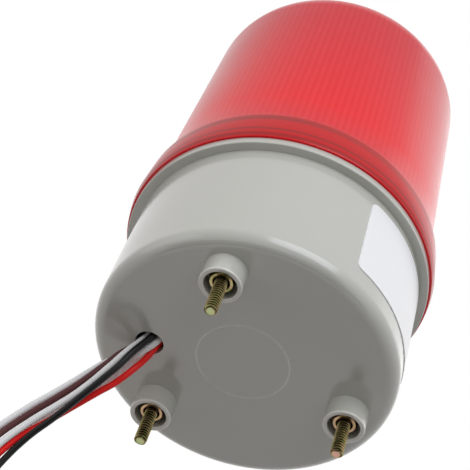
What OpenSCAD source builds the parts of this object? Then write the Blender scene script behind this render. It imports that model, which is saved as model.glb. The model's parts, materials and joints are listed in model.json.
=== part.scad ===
// Rotating warning beacon: screw-on fluted lens, grey cup base on three studs, and a
// lamp with a motor-driven reflector turning round it. Units are millimetres, +Z is up,
// and the origin is the centre of the stud circle in the plane of the boss ends.

/* [Base housing] */
// Outside radius of the cup at its underside
base_bottom_r = 48; // [46:0.5:52]
// Outside radius of the cup just under the rim
base_top_r = 47; // [45:0.5:51]
// Height of the cup from its underside to the rim
base_h = 45.5; // [44:0.5:60]
// Radius of the rounded bottom edge
base_fillet = 4.3; // [2:0.1:6]
// Thickness of the cup wall
base_wall = 2.2; // [1.8:0.1:3]
// Thickness of the cup floor
base_floor = 2.5; // [2:0.1:4]
// Width by which the rim stands out past the cup
rim_out = 3; // [1.5:0.1:5]
// Height of the rim
rim_h = 2.5; // [1.5:0.1:5]
// Height of the neck that the lens screws on
neck_h = 12.3; // [9:0.1:16]
// Set-in of the neck from the rim's edge
neck_in = 2.7; // [2.2:0.1:4]
// Radius of the moulded ring line on the underside
ring_line_r = 14.6; // [8:0.1:22]
// Width and depth of the ring line
ring_line_w = 0.2; // [0.1:0.05:0.8]
// Rounding of the rim's edge
rim_round = 0.4; // [0.1:0.1:0.8]

/* [Mounting] */
// Diameter of the stud circle
stud_pcd = 71; // [66:0.5:74]
// Thread diameter of a stud
stud_d = 4; // [3:0.5:5]
// Reach of a stud past the boss end
stud_reach = 11.5; // [6:0.5:25]
// Outside radius of a boss
boss_r = 6.6; // [6.3:0.1:7.5]
// Radius of the hollow in a boss
boss_bore_r = 5.1; // [4.9:0.1:5.6]
// Height of a boss
boss_h = 7.2; // [6:0.1:12]
// Depth of the hollow in a boss
boss_recess = 5.5; // [4.5:0.1:5.8]
// Rounding of the boss's lip
boss_round = 0.5; // [0.2:0.1:0.6]
// Width across the flats of nuts and bolt heads
hex_af = 7; // [5.5:0.5:7.5]
// Height of a nut
nut_h = 3.2; // [2.4:0.1:3.6]
// Height of a bolt head
head_h = 2.8; // [2:0.1:3.5]
// Depth of the pocket that keeps a bolt head from turning
head_pocket = 1.2; // [0.6:0.1:1.8]
// Outside radius of a washer
washer_r = 4.5; // [4.2:0.1:4.8]
// Thickness of a washer
washer_t = 0.8; // [0.5:0.1:1]

/* [Lead outlet] */
// Room round the leads in the outlet
outlet_room = 0.2; // [0.1:0.05:1.5]
// Distance of the outlet from the axis
outlet_dist = 29.4; // [28:0.1:31]
// Angle of the outlet about the axis
outlet_angle = -168; // [-172:0.5:-164]

/* [Lens] */
// Wall of the collar at the lower edge
collar_wall = 2.6; // [2:0.1:4]
// Draft of the collar, in radius over its height
collar_draft = 1.3; // [0:0.1:1.3]
// Height of the collar over the neck
collar_over = 2; // [1.2:0.1:5]
// Step from the collar in to the dome
collar_step = 2.3; // [1.5:0.1:3]
// Wall of the lens
lens_wall = 2; // [1.5:0.1:2.4]
// Draft angle of the dome
dome_draft = 2.67; // [0:0.01:3]
// Height of the dome from the collar to the centre of the shoulder
dome_h = 78.5; // [74:0.5:100]
// Radius of the rounded shoulder
shoulder_r = 14.5; // [8:0.5:20]
// Radius of the crowned top
crown_r = 260; // [150:10:600]
// Number of flutes inside the dome
flutes = 130; // [60:2:140]
// Depth of a flute
flute_depth = 0.5; // [0.2:0.1:0.7]

/* [Rating label] */
// Width of the label along the wall
label_w = 50; // [20:1:70]
// Height of the label's lower edge over the underside
label_up = 10.5; // [6:0.5:12]
// Distance of the label's upper edge from the rim
label_down = 3; // [1:0.5:12]
// Angle of the label's middle about the axis
label_angle = -10; // [-40:1:40]
// Corner radius of the label
label_corner = 2; // [0.5:0.1:4]
// Thickness of the label
label_t = 0.25; // [0.1:0.05:0.3]

/* [Chassis] */
// Height of the posts that carry the chassis plate
post_h = 34.8; // [34:0.1:40]
// Radius of a post
post_r = 4; // [3.5:0.1:4.5]
// Distance of a post's middle from the plate's edge
post_edge = 5; // [4.5:0.1:6]
// Thickness of the chassis plate
plate_t = 1.5; // [1:0.1:2]
// Gap between the chassis plate and the cup
plate_gap = 1.9; // [0.5:0.1:3]
// Thread radius of the plate screws
plate_screw_r = 1.5; // [1.2:0.1:1.8]

/* [Lamp] */
// Wall of the lamp holder's tube
holder_wall = 1.3; // [1:0.1:2]
// Height of the lamp holder
holder_h = 25; // [23:0.5:27]
// Thickness of the lamp holder's flange
flange_t = 1.5; // [1:0.1:1.8]
// Radius of the bulb's cap
cap_r = 7.5; // [6.5:0.05:8]
// Length of the bulb's cap
cap_h = 17.5; // [16:0.5:19]
// Radius of the bulb's glass
globe_r = 12.5; // [10:0.5:13.5]
// Height of the glass's centre over the cap
globe_up = 15; // [13:0.5:17]

/* [Drive] */
// Teeth of the reflector's gear
gear_teeth = 60; // [50:1:66]
// Teeth of the motor's pinion
pinion_teeth = 12; // [10:1:16]
// Width of the gear's teeth
gear_t = 4; // [3:0.1:5]
// Angle of the motor about the axis
motor_angle = 30; // [20:1:40]
// Radius of the motor's can
motor_r = 12; // [10:0.5:13]
// Room between the motor's can and the plate's edge
motor_edge = 2.1; // [1:0.1:4]
// Room between the motor and the board
motor_room = 1.4; // [0.5:0.1:5]
// Radius of the motor's shaft
shaft_r = 1; // [0.8:0.1:1.2]

/* [Reflector] */
// Gap between the reflector's upper corners and the lens
reflector_gap = 3.4; // [2:0.1:6]
// Height of the focus over the reflector's foot
focus_up = 37.5; // [36:0.5:40]
// Distance of the reflector's mouth in front of the axis
mouth_x = 4; // [0:0.5:6]
// Height of the reflector's cut ends above and below the focus
reflector_half_h = 31; // [24:0.5:33]
// Wall of the reflector
reflector_wall = 1.6; // [1.2:0.1:2]

/* [Circuit board] */
// Length of the board
board_l = 56; // [50:1:58]
// Width of the board
board_w = 30; // [26:1:30]
// Thickness of the board
board_t = 1.6; // [1:0.1:2]
// Height of the posts under the board
board_post_h = 10.3; // [8:0.1:11]

/* [Hidden] */
$fn = 96;
arc_steps = 10;

// Clearances: pressed, running, through holes and free space; and the overshoot of a cut
press_gap = 0.01;
fit_gap = 0.05;
hole_gap = 0.15;
free_gap = 0.3;
cut = 1;

// Heights and radii of the base
z_under = boss_h;
z_floor = z_under + base_floor;
z_root = z_floor - base_floor / 2;
z_ledge = z_under + base_h;
z_rim = z_ledge + rim_h;
z_neck = z_rim + neck_h;
rim_r = base_top_r + rim_out;
neck_r = rim_r - neck_in;
neck_bore_r = neck_r - base_wall;
wall_lean = atan((base_bottom_r - base_top_r) / base_h);
least_fillet = 0.5;

// Mounting stack in a boss; the threads of stud and nut meet at their middle radius
stud_r = stud_d / 2;
stud_hole_r = stud_r + hole_gap;
stud_tip = 0.14 * stud_d;
thread_mid = 0.886 * stud_r;
z_washer = boss_recess - washer_t;
z_nut = z_washer - nut_h;
sink_r = 1.3 * stud_r;
z_head = z_floor - head_pocket;
hex_r = hex_af / sqrt(3);
stud_angles = [-90, 30, 150];

// Lens outline; the thread's room lies between the neck and the collar
thread_room = 1.3;
collar_bore_r = neck_r + thread_room;
collar_r = collar_bore_r + collar_wall;
collar_top_r = collar_r - collar_draft;
z_collar = z_neck + collar_over;
dome_r = collar_top_r - collar_step;
collar_root = 0.4;
collar_round = min(1.6, collar_step - collar_root);
collar_chamfer = 0.2;
z_bore_top = z_neck + free_gap;
z_shoulder = z_collar + dome_h;
shoulder_x = dome_r - dome_h * tan(dome_draft) - shoulder_r / cos(dome_draft);
gasket_h = 1.5;
label_h = base_h - label_up - label_down;

// Screws: thread radius, head radius and head height of the two kinds
head_r = 1.8 * plate_screw_r;
screw_head_h = 1.7;
small_screw_r = 1.1;
small_head_r = 2;
small_head_h = 1.3;
end_room = 1;

// Chassis plate on its three posts
z_plate = z_floor + post_h;
z_plate_top = z_plate + plate_t;
plate_r = min(neck_bore_r, cup_radius(base_wall, z_plate_top)) - plate_gap;
post_dist = plate_r - post_edge;
post_angles = [-30, 90, 210];
post_hole_h = 9;
rib_drop = 6;
wire_hole_r = 5;
wire_hole_x = -30;

// Lamp holder, its contact and the bulb
z_flange = z_plate_top + flange_t;
z_holder_top = z_plate_top + holder_h;
cap_room = 0.2;
holder_bore_r = cap_r + cap_room;
holder_r = holder_bore_r + holder_wall;
hub_wall = 2.5;
hub_r = holder_r + hub_wall;
hub_room = 1.4;
holder_screw_dist = hub_r + head_r + hub_room;
flange_r = holder_screw_dist + head_r + hole_gap;
holder_screw_angles = [0, 120, 240];
holder_screw_end = 2;
insulator_h = 5;
contact_r = 1.5;
contact_head_r = 3;
contact_tail = 2.5;
cap_gap = 9.5;
z_cap = z_plate_top + cap_gap;
z_cap_top = z_cap + cap_h;
cap_round = 0.6;
solder_r = 3.2;
solder_h = 1;
z_globe = z_cap_top + globe_up;
globe_start = -55;
pin_up = 6.5;
pin_z = z_cap + pin_up;
pin_r = 1;
pin_turn = 20;
slot_half = pin_r + cap_room;
slot_drop = 0.8;

// Gear on the lamp holder, held down by a spring ring; tooth_low and tooth_high are in modules
thrust_t = 0.8;
end_play = 0.1;
z_hub = z_flange + thrust_t;
hub_h = 9;
z_hub_top = z_hub + hub_h;
gear_up = 2.2;
z_gear = z_hub + gear_up;
z_gear_top = z_gear + gear_t;
tooth_play = 0.15;
motor_dist = plate_r - motor_edge - motor_r;
gear_module = 2 * (motor_dist - tooth_play) / (gear_teeth + pinion_teeth);
gear_r = gear_module * gear_teeth / 2;
gear_rim_in = gear_r - 4 * gear_module;
gear_recess = 1.2;
gear_hollow = 0.6;
gear_backlash = 0.12;
tooth_low = 1.2;
tooth_high = 0.95;
pressure_angle = 20;
web_holes = [0, 60, 180, 300];
web_edge = 0.8;
screw_boss_r = 3;
ring_t = 1;
ring_groove = 0.6;
ring_w = 1.8;
ring_open = 6;
z_ring = z_hub_top + end_play;

// Motor under the plate
pinion_over = 0.3;
motor_screw_y = 8;
motor_hole_h = 4;
motor_boss_r = 4;
motor_cap_h = 1.5;

// Reflector on the gear
z_foot = z_gear_top;
foot_t = 2;
z_focus = z_foot + focus_up;
swing_r = dome_radius(z_focus + reflector_half_h) - lens_wall - flute_depth - reflector_gap;
focal_len = (swing_r - mouth_x) / 2 - reflector_wall;
foot_room = 0.7;
foot_in_r = hub_r + foot_room;
foot_out_r = gear_r - 2 * gear_module;
foot_screw_dist = (foot_in_r + foot_out_r) / 2;
foot_screw_angles = [120, 240];
globe_room = 1.5;
lamp_room = globe_r + globe_room;
rib_t = 2.4;
rib_x = -6;
rib_y = 18;
dish_steps = 14;

// Circuit board and what stands on it
z_board = z_floor + board_post_h;
z_board_top = z_board + board_t;
board_side = 7.2;
post_room = 2;
board_at = [
    outlet_dist * cos(outlet_angle) - board_side,
    post_dist * sin(post_angles[2]) + post_r + post_room
];
board_post_r = 2.6;
board_hole_h = 7;
board_inset = 4;
outlet_side = 15;
motor_side = 14;
board_holes = [
    board_at + [board_inset + outlet_side, board_inset],
    board_at + [board_inset + outlet_side, board_w - board_inset],
    board_at + [board_l - board_inset, board_inset],
    board_at + [board_l - board_inset - motor_side, board_w - board_inset]
];
motor_h = z_plate - motor_cap_h - motor_room - z_board_top;
z_motor = z_plate - motor_h;
capacitor_at = [-8, 8];
capacitor_r = 5;
capacitor_h = 16;
capacitor_round = 0.8;
rectifier_at = [-4, -8];
rectifier_w = 10;
rectifier_h = 4;

// Leads: each route starts under the board, drops through the outlet, runs out to the side
// and hangs down. Points are [x, y, z] from the middle of the outlet's mouth.
lead_r = 1.05;
lead_sides = 8;
bundle_r = 4.3;
outlet_r = bundle_r + outlet_room;
lead_top = z_board - z_under;
LEAD_WHITE_REAR = [
    [2.3, 1.6, lead_top], [2.3, 1.6, 10.4], [-0.3, 1.9, 2.7], [-1.9, 2.2, 0],
    [-7.8, 2.4, -4.2], [-12.9, 2.5, -7.8], [-16.5, 3.2, -10.9], [-21.2, 4.3, -15],
    [-25.9, 5.3, -19], [-33, 6.8, -24.8], [-41.4, 8.7, -33.5], [-48.2, 10.2, -44],
    [-53.4, 11.4, -57], [-57.4, 12.3, -75], [-59.6, 12.7, -93], [-59.6, 12.7, -109]
];
LEAD_BROWN = [
    [2.7, -0.7, lead_top], [2.7, -0.7, 10.4], [-0.8, -0.4, 2.7], [-2.8, -0.2, 0],
    [-6.9, 0, -4.6], [-12, 1.2, -10.3], [-17.8, 3.2, -15.9], [-25, 5.3, -21.8],
    [-32, 7, -27.6], [-39.9, 8.9, -36], [-46.2, 10.5, -47], [-50.8, 11.9, -61],
    [-53.9, 12.8, -79], [-55.3, 13.2, -97], [-55.3, 13.2, -113]
];
LEAD_WHITE_MID = [
    [1.8, -3.5, lead_top], [1.8, -3.5, 10.4], [-0.4, -2.9, 2.7], [-1.8, -2.5, 0],
    [-5.3, -1.4, -6], [-9.3, 0.1, -11.4], [-16.9, 3.5, -18.9], [-24.2, 6.1, -24.5],
    [-31.4, 8.2, -30], [-38.8, 10.2, -38.2], [-44.6, 11.6, -49.5], [-48.8, 12.4, -63.5],
    [-51.4, 12.7, -81], [-52.5, 12.6, -97], [-52.5, 12.6, -111]
];
LEAD_BLACK = [
    [4.1, -2.7, lead_top], [4.1, -2.7, 10.4], [2.1, -2.3, 2.7], [0.8, -2.2, 0],
    [-3.2, -2, -7.2], [-6, -1, -11.9], [-10.9, 1.1, -17.2], [-16.1, 3.7, -21.6],
    [-23.5, 7.4, -27.5], [-30.9, 10.7, -33.3], [-37.4, 14.2, -41], [-42.5, 17.1, -52],
    [-46.2, 19.2, -66], [-48.5, 20.6, -84], [-49.5, 21.3, -102], [-49.5, 21.3, -119]
];
LEAD_WHITE_FRONT = [
    [6, -1, lead_top], [6, -1, 10.4], [3.2, -0.2, 2.7], [1.6, 0.2, 0],
    [-2.3, 1.5, -3.3], [-6.1, 4.5, -5.6], [-13.5, 8.3, -11.2], [-19.3, 10.2, -15.8],
    [-26.4, 11.5, -21.7], [-33.1, 12.2, -27.8], [-40.5, 13.5, -36.5], [-46.8, 15.1, -47],
    [-51.7, 16.7, -61], [-55.1, 18, -79], [-56.8, 18.8, -96], [-56.8, 18.8, -111]
];
LEAD_RED = [
    [4.8, 1.1, lead_top], [4.8, 1.1, 10.4], [2.2, 2.1, 2.7], [0.9, 2.7, 0],
    [-0.6, 3.3, -3.2], [-3.2, 3.5, -8.3], [-8.1, 4.8, -13.8], [-12.2, 5.6, -17.1],
    [-19.6, 7.7, -22.3], [-28.2, 10.2, -28.2], [-31.8, 10.9, -30.8], [-38.5, 12.7, -38.6],
    [-44.3, 14.8, -50], [-48.8, 16.8, -64.5], [-51.6, 18.3, -82], [-53, 19.3, -98],
    [-53, 19.3, -112]
];
LEADS = [LEAD_WHITE_REAR, LEAD_BROWN, LEAD_WHITE_MID, LEAD_BLACK, LEAD_WHITE_FRONT, LEAD_RED];
tip_len = 7;
tip_r = 0.45;

function polar(r, a) = [r * cos(a), r * sin(a)];

// Points of an arc about c from angle a to angle b
function arc(c, r, a, b, steps = arc_steps) = [for (i = [0:steps]) c + polar(r, a + (b - a) * i / steps)];

// Moves its children to each angle of a circle
module around(r, angles) {
    for (a = angles) translate(polar(r, a)) rotate(a) children();
}

// Round hole up through z = 0 to a height
module hole(r, h) {
    translate([0, 0, -cut]) cylinder(r = r, h = h + 2 * cut);
}

// Screw with a pan head and a crossed slot: the head sits on z = 0 and the shank goes down
module pan_screw(shank_r, shank_l, top_r, top_h) {
    bend = 0.55 * top_h;
    slot_l = 1.2 * top_r;
    slot_w = 0.3 * top_h;
    translate([0, 0, -shank_l]) cylinder(r = shank_r, h = shank_l + top_h / 2);
    difference() {
        rotate_extrude() polygon(concat([[0, 0], [top_r, 0]],
            arc([top_r - bend, top_h - bend], bend, 0, 90, 4), [[0, top_h]]));
        for (a = [0, 90]) rotate(a) translate([-slot_l / 2, -slot_w / 2, top_h / 2])
            cube([slot_l, slot_w, top_h]);
    }
}

// Outline of a gear: root and tip points of each tooth
function gear_points(teeth) =
    let (m = gear_module, r = m * teeth / 2, step = 360 / teeth, degree = 180 / PI / r,
         half = step / 4 - gear_backlash / 2 * degree,
         lean = m * tan(pressure_angle) * degree)
    [for (i = [0:teeth - 1], s = [[-tooth_low, -1], [tooth_high, -1], [tooth_high, 1], [-tooth_low, 1]])
        polar(r + s[0] * m, i * step + s[1] * (half - s[0] * lean))];

// Sweeps a round tube along a list of points
module tube(path, r, sides) {
    n = len(path);
    unit = function (v) v / norm(v);
    dir = [for (i = [0:n - 1]) unit(path[min(i + 1, n - 1)] - path[max(i - 1, 0)])];
    side = [for (d = dir) unit(cross(d, [0, 1, 0]))];
    points = [for (i = [0:n - 1], k = [0:sides - 1])
        let (t = 360 * k / sides, up = cross(dir[i], side[i]))
        path[i] + r * (cos(t) * side[i] + sin(t) * up)];
    rows = [for (i = [0:n - 2], k = [0:sides - 1])
        [i * sides + k, i * sides + (k + 1) % sides,
         (i + 1) * sides + (k + 1) % sides, (i + 1) * sides + k]];
    first = [for (k = [0:sides - 1]) sides - 1 - k];
    last = [for (k = [0:sides - 1]) (n - 1) * sides + k];
    polyhedron(points, concat([first, last], rows), convexity = 6);
}

// Places its children at the middle of the outlet's mouth
module at_outlet() {
    translate([each polar(outlet_dist, outlet_angle), z_under]) children();
}

// Radius of the cup's wall at a height, inset by a wall thickness
function cup_radius(inset, z) = base_bottom_r - inset / cos(wall_lean) - (z - z_under) * tan(wall_lean);

// Cup outline from the axis out to the wall, inset by a wall thickness
function cup_outline(inset, floor_z, fillet, top_z) =
    let (corner = cup_radius(inset, floor_z) - fillet * (1 + sin(wall_lean)) / cos(wall_lean))
    concat([[0, floor_z]],
        arc([corner, floor_z + fillet], fillet, -90, wall_lean),
        [[cup_radius(inset, top_z), top_z], [0, top_z]]);

// Cup with its rim, neck and bosses, hollow inside
module base_shell() {
    difference() {
        union() {
            rotate_extrude() polygon(cup_outline(0, z_under, base_fillet, z_ledge));
            rotate_extrude() polygon(concat([[0, z_ledge]],
                arc([rim_r - rim_round, z_ledge + rim_round], rim_round, -90, 0, 4),
                [[rim_r, z_rim], [0, z_rim]]));
            translate([0, 0, z_ledge]) cylinder(r = neck_r, h = rim_h + neck_h);
            around(stud_pcd / 2, stud_angles) rotate_extrude() polygon(concat([[0, 0]],
                arc([boss_r - boss_round, boss_round], boss_round, -90, 0, 4),
                [[boss_r, z_root], [0, z_root]]));
        }
        rotate_extrude() polygon(cup_outline(base_wall, z_floor,
            max(least_fillet, base_fillet - base_wall), z_ledge + cut));
        translate([0, 0, z_ledge]) cylinder(r = min(neck_bore_r, base_top_r - base_wall),
            h = rim_h + neck_h + cut);
        translate([0, 0, z_rim]) cylinder(r = neck_bore_r, h = neck_h + cut);
    }
}

// Hollow, bolt hole and bolt-head pocket of a boss
module boss_cuts() {
    lip = boss_round / 2;
    rotate_extrude() polygon([[0, -cut], [boss_bore_r + lip + cut, -cut], [boss_bore_r, lip],
        [boss_bore_r, boss_recess], [0, boss_recess]]);
    cylinder(r = stud_hole_r, h = z_floor + cut);
    translate([0, 0, z_head]) cylinder(r = hex_r + hole_gap, h = head_pocket + cut, $fn = 6);
}

// Grey moulded cup with its rim, neck, bosses, posts and outlet
module base_housing() {
    color([0.76, 0.76, 0.73]) difference() {
        union() {
            base_shell();
            around(post_dist, post_angles) translate([0, 0, z_root]) {
                cylinder(r = post_r, h = z_plate - z_root);
                translate([0, -base_wall / 2, 0])
                    cube([base_top_r - base_wall / 2 - post_dist, base_wall, z_plate - z_root - rib_drop]);
            }
            for (p = board_holes) translate([p.x, p.y, z_root])
                cylinder(r = board_post_r, h = z_board - z_root);
        }
        around(stud_pcd / 2, stud_angles) boss_cuts();
        at_outlet() hole(outlet_r, base_floor);
        around(post_dist, post_angles) translate([0, 0, z_plate - post_hole_h])
            cylinder(r = plate_screw_r + fit_gap, h = post_hole_h + cut);
        for (p = board_holes) translate([p.x, p.y, z_board - board_hole_h])
            cylinder(r = small_screw_r + fit_gap, h = board_hole_h + cut);
        translate([0, 0, z_under - cut]) difference() {
            cylinder(r = ring_line_r + ring_line_w / 2, h = cut + ring_line_w / 2);
            hole(ring_line_r - ring_line_w / 2, cut + ring_line_w / 2);
        }
    }
}

// Zinc-plated bolts that stand out of the bosses
module mounting_studs() {
    color([0.72, 0.66, 0.42]) around(stud_pcd / 2, stud_angles) {
        rotate_extrude() polygon([[0, -stud_reach], [stud_r - stud_tip, -stud_reach],
            [stud_r, stud_tip - stud_reach], [stud_r, z_nut], [thread_mid, z_nut],
            [thread_mid, z_head + head_h / 2], [0, z_head + head_h / 2]]);
        translate([0, 0, z_head]) cylinder(r = hex_r, h = head_h, $fn = 6);
    }
}

module stud_washers() {
    color([0.74, 0.68, 0.45]) around(stud_pcd / 2, stud_angles) translate([0, 0, z_washer])
        difference() {
            cylinder(r = washer_r, h = washer_t);
            hole(stud_hole_r, washer_t);
        }
}

// Hexagon nuts with a chamfered face and a countersunk thread
module stud_nuts() {
    color([0.74, 0.68, 0.45]) around(stud_pcd / 2, stud_angles) translate([0, 0, z_nut])
        difference() {
            intersection() {
                cylinder(r = hex_r, h = nut_h, $fn = 6);
                cylinder(r1 = hex_af / 2, r2 = hex_af / 2 + nut_h, h = nut_h);
            }
            hole(thread_mid + fit_gap, nut_h);
            translate([0, 0, -fit_gap])
                cylinder(r1 = sink_r + fit_gap, r2 = thread_mid, h = sink_r + fit_gap - thread_mid);
        }
}

// Dome outline from the collar up over the shoulder to the crown, inset by a wall
function dome_outline(inset) =
    let (r = shoulder_r - inset,
         crown = crown_r - inset,
         z_centre = z_shoulder - sqrt(pow(crown - r, 2) - pow(shoulder_x, 2)),
         turn = atan2(z_shoulder - z_centre, shoulder_x))
    concat(arc([shoulder_x, z_shoulder], r, dome_draft, turn),
        arc([0, z_centre], crown, turn, 90, 5));

function dome_radius(z) = dome_r - (z - z_collar) * tan(dome_draft);

// Red moulded lens: plain threaded collar, dome with a zigzag of flutes inside, rounded top
module lens() {
    inner_low = dome_radius(z_bore_top) - lens_wall;
    inner_high = dome_radius(z_shoulder) - lens_wall;
    color([0.85, 0.12, 0.14, 0.75]) difference() {
        rotate_extrude() polygon(concat(
            [[0, z_rim], [collar_r - collar_chamfer, z_rim], [collar_r, z_rim + collar_chamfer]],
            arc([collar_top_r - collar_round, z_collar - collar_round], collar_round, 0, 90, 5),
            arc([dome_r + collar_root, z_collar + collar_root], collar_root, 270, 180, 3),
            dome_outline(0)));
        translate([0, 0, z_rim - cut]) cylinder(r = collar_bore_r, h = z_bore_top - z_rim + cut);
        translate([0, 0, z_bore_top - fit_gap])
            linear_extrude(height = z_shoulder - z_bore_top + fit_gap, scale = inner_high / inner_low)
                polygon([for (i = [0:2 * flutes - 1])
                    polar(inner_low - (i % 2) * flute_depth, i * 180 / flutes)]);
        rotate_extrude() polygon(concat(
            [[0, z_shoulder - cut], [inner_high - flute_depth, z_shoulder - cut]],
            dome_outline(lens_wall + flute_depth)));
    }
}

// Flat rubber ring at the foot of the neck, inside the lens
module lens_gasket() {
    color([0.12, 0.12, 0.13]) translate([0, 0, z_rim]) difference() {
        cylinder(r = collar_bore_r - hole_gap, h = gasket_h);
        hole(neck_r + fit_gap, gasket_h);
    }
}

// Blank self-adhesive label on the wall of the cup
module rating_label() {
    low = z_under + label_up;
    high = low + label_h;
    half_w = base_bottom_r * sin(label_w / base_bottom_r * 90 / PI);
    color([0.93, 0.94, 0.96]) rotate(label_angle) intersection() {
        rotate_extrude() polygon([[cup_radius(0, low), low], [cup_radius(-label_t, low), low],
            [cup_radius(-label_t, high), high], [cup_radius(0, high), high]]);
        translate([0, 0, low + label_h / 2]) rotate([90, 0, 90])
            linear_extrude(height = base_bottom_r + label_t + cut) {
                square([2 * half_w, label_h - 2 * label_corner], center = true);
                square([2 * (half_w - label_corner), label_h], center = true);
                for (x = [-1, 1], y = [-1, 1])
                    translate([x * (half_w - label_corner), y * (label_h / 2 - label_corner)])
                        circle(r = label_corner);
            }
    }
}

// Places its children at the motor's axis, turned to face the centre
module at_motor() {
    translate(polar(motor_dist, motor_angle)) rotate(motor_angle) children();
}

// Moves its children to the two motor screws
module at_motor_screws() {
    at_motor() for (y = [-1, 1]) translate([0, y * motor_screw_y, 0]) children();
}

// Plated steel disc that carries the lamp and the motor
module chassis_plate() {
    color([0.72, 0.73, 0.75]) translate([0, 0, z_plate]) difference() {
        cylinder(r = plate_r, h = plate_t);
        hole(wire_hole_r, plate_t);
        translate([wire_hole_x, 0, 0]) hole(wire_hole_r, plate_t);
        around(post_dist, post_angles) hole(plate_screw_r + hole_gap, plate_t);
        around(holder_screw_dist, holder_screw_angles) hole(plate_screw_r + fit_gap, plate_t);
        at_motor() hole(motor_boss_r + hole_gap, plate_t);
        at_motor_screws() hole(small_screw_r + hole_gap, plate_t);
    }
}

module plate_screws() {
    color([0.7, 0.7, 0.72]) around(post_dist, post_angles) translate([0, 0, z_plate_top])
        pan_screw(plate_screw_r, plate_t + post_hole_h - end_room, head_r, screw_head_h);
}

// Turned steel tube with hooked slots: holds the bulb and is the reflector's spindle
module lamp_holder() {
    slot_end = holder_r * sin(pin_turn);
    slot_low = pin_z - slot_drop - slot_half;
    color([0.75, 0.76, 0.78]) difference() {
        translate([0, 0, z_plate_top]) {
            cylinder(r = flange_r, h = flange_t);
            cylinder(r = holder_r, h = holder_h);
        }
        translate([0, 0, z_plate_top]) {
            hole(holder_bore_r, holder_h);
            around(holder_screw_dist, holder_screw_angles) hole(plate_screw_r + hole_gap, flange_t);
        }
        translate([0, 0, z_ring - fit_gap]) difference() {
            cylinder(r = holder_r + cut, h = ring_t + 2 * fit_gap);
            hole(holder_r - ring_groove, ring_t + 2 * fit_gap);
        }
        for (a = [0, 180]) rotate(a) translate([0, -slot_half, slot_low]) {
            cube([holder_r + cut, 2 * slot_half, z_holder_top - slot_low + cut]);
            cube([holder_r + cut, slot_end + 2 * slot_half, 2 * slot_half]);
            translate([0, slot_end, 0]) cube([holder_r + cut, 2 * slot_half, slot_drop + 2 * slot_half]);
        }
    }
}

module holder_screws() {
    color([0.7, 0.7, 0.72]) around(holder_screw_dist, holder_screw_angles) translate([0, 0, z_flange])
        pan_screw(plate_screw_r, flange_t + plate_t + holder_screw_end, head_r, screw_head_h);
}

// Moulded disc that keeps the centre contact apart from the tube
module contact_insulator() {
    color([0.35, 0.2, 0.12]) translate([0, 0, z_plate_top]) difference() {
        cylinder(r = holder_bore_r - fit_gap, h = insulator_h);
        hole(contact_r + fit_gap, insulator_h);
    }
}

// Brass rivet that meets the bulb's end contact
module centre_contact() {
    color([0.8, 0.65, 0.3]) {
        translate([0, 0, z_plate_top - contact_tail])
            cylinder(r = contact_r, h = contact_tail + insulator_h + cut);
        translate([0, 0, z_plate_top + insulator_h])
            cylinder(r = contact_head_r, h = cap_gap - insulator_h);
    }
}

// Bayonet bulb, one sealed solid
module bulb() {
    color([0.93, 0.93, 0.9]) {
        rotate_extrude() polygon(concat(
            [[0, z_cap], [solder_r, z_cap], [solder_r + solder_h, z_cap + solder_h],
             [cap_r - cap_round, z_cap + solder_h + cap_round], [cap_r, z_cap + solder_h + 2 * cap_round],
             [cap_r, z_cap_top], [cap_r - cap_round, z_cap_top + cap_round]],
            arc([0, z_globe], globe_r, globe_start, 90, 16)));
        translate([0, 0, pin_z]) rotate([0, 90, pin_turn])
            cylinder(r = pin_r, h = 2 * (holder_r - hole_gap), center = true);
    }
}

module thrust_washer() {
    color([0.9, 0.88, 0.8]) translate([0, 0, z_flange]) difference() {
        cylinder(r = hub_r, h = thrust_t);
        hole(holder_r + hole_gap, thrust_t);
    }
}

// Moulded gear that turns on the lamp holder and carries the reflector
module drive_gear() {
    color([0.93, 0.92, 0.88]) difference() {
        union() {
            translate([0, 0, z_hub + end_play]) cylinder(r = hub_r, h = hub_h - end_play);
            translate([0, 0, z_gear]) {
                difference() {
                    linear_extrude(height = gear_t) polygon(gear_points(gear_teeth));
                    translate([0, 0, gear_t - gear_recess])
                        cylinder(r = gear_rim_in, h = gear_recess + cut);
                    translate([0, 0, -cut]) cylinder(r = gear_rim_in, h = gear_hollow + cut);
                }
                around(foot_screw_dist, foot_screw_angles) cylinder(r = screw_boss_r, h = gear_t);
            }
        }
        translate([0, 0, z_hub]) hole(holder_r + fit_gap, hub_h);
        translate([0, 0, z_gear]) {
            around(foot_screw_dist, foot_screw_angles) hole(small_screw_r + fit_gap, gear_t);
            around((hub_r + gear_rim_in) / 2, web_holes) hole((gear_rim_in - hub_r) / 2 - web_edge, gear_t);
        }
    }
}

// Solid of a paraboloid about the X axis, with its focus at the origin, opening to +X
module paraboloid(f, x_end) {
    reach = sqrt(4 * f * (x_end + f));
    rotate([0, 90, 0]) rotate_extrude()
        polygon(concat([for (i = [0:dish_steps]) let (q = reach * i / dish_steps) [q, q * q / (4 * f) - f]],
            [[0, x_end]]));
}

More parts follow.
